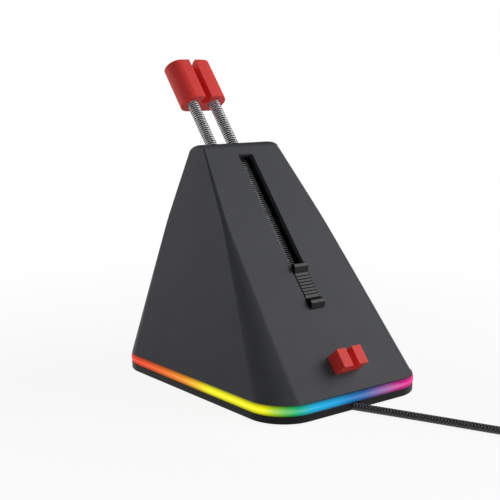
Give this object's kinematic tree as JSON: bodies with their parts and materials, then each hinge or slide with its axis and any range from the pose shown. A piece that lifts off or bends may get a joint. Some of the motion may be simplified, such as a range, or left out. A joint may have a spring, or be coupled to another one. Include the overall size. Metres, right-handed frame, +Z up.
{
  "type": "mouse bungee",
  "caption": "Wedge-shaped desk stand with a lit base that holds a mouse cable up in a clip on a pair of coil springs, with a slider that sets the height.",
  "frame": {"origin": "on the desk under the middle of the base", "axes": "+X to the right seen from the sloping front, +Y towards the back, +Z up"},
  "size_m": [0.1442, 0.2347, 0.1501],
  "materials": {
    "housing_plastic": "fine satin moulding",
    "light_strip": "clear diffuser lit from inside",
    "tray_plastic": "satin",
    "pad_rubber": "matt",
    "ballast_steel": "zinc plated",
    "board": "green solder mask",
    "lamps": "white package",
    "chip": "matt black",
    "screw_steel": "zinc plated",
    "clip_red": "satin red moulding",
    "lead_rubber": "matt",
    "wires": "wire sleeve",
    "lead_braid": "woven sleeve",
    "tie_strap": "hook and loop strap",
    "plug_plastic": "satin",
    "plug_metal": "nickel plated",
    "plug_tongue": "white",
    "carriage_plastic": "satin",
    "slider_plastic": "satin",
    "leaf_steel": "spring steel",
    "spring_steel": "bright drawn wire"
  },
  "bodies": {
    "base": {"housing": "housing_plastic", "light_ring": "light_strip", "base_tray": "tray_plastic", "rubber_pad": "pad_rubber", "ballast_plate": "ballast_steel", "lamp_board": "board", "board_lamps": "lamps", "controller_chip": "chip", "cable_header": "chip", "tray_screws": "screw_steel", "lower_clip": "clip_red", "lower_clip_screw": "screw_steel", "cable_gland": "lead_rubber", "inner_lead": "wires", "usb_lead": "lead_braid", "lead_coil": "lead_braid", "coil_tie": "tie_strap", "lead_tail": "lead_braid", "plug_body": "plug_plastic", "plug_shell": "plug_metal", "plug_tongue": "plug_tongue"},
    "carriage": {"carriage": "carriage_plastic", "slider": "slider_plastic", "slider_screw": "screw_steel", "slide_leaves": "leaf_steel", "left_spring": "spring_steel", "right_spring": "spring_steel"},
    "arm_clip": {"upper_clip": "clip_red"}
  },
  "joints": [
    {"name": "height_slide", "type": "slide", "parent": "base", "child": "carriage", "axis": [0, 0.6264, 0.7795], "range_m": [0, 0.058]},
    {"name": "arm_flex", "type": "hinge", "parent": "carriage", "child": "arm_clip", "pos_m": [0, 0.03783, 0.11224], "axis": [1, 0, 0], "range_deg": [-35, 35], "stiffness_Nm_per_rad": 0.1, "springref_deg": 0.69, "deforming": ["left_spring", "right_spring"]}
  ]
}
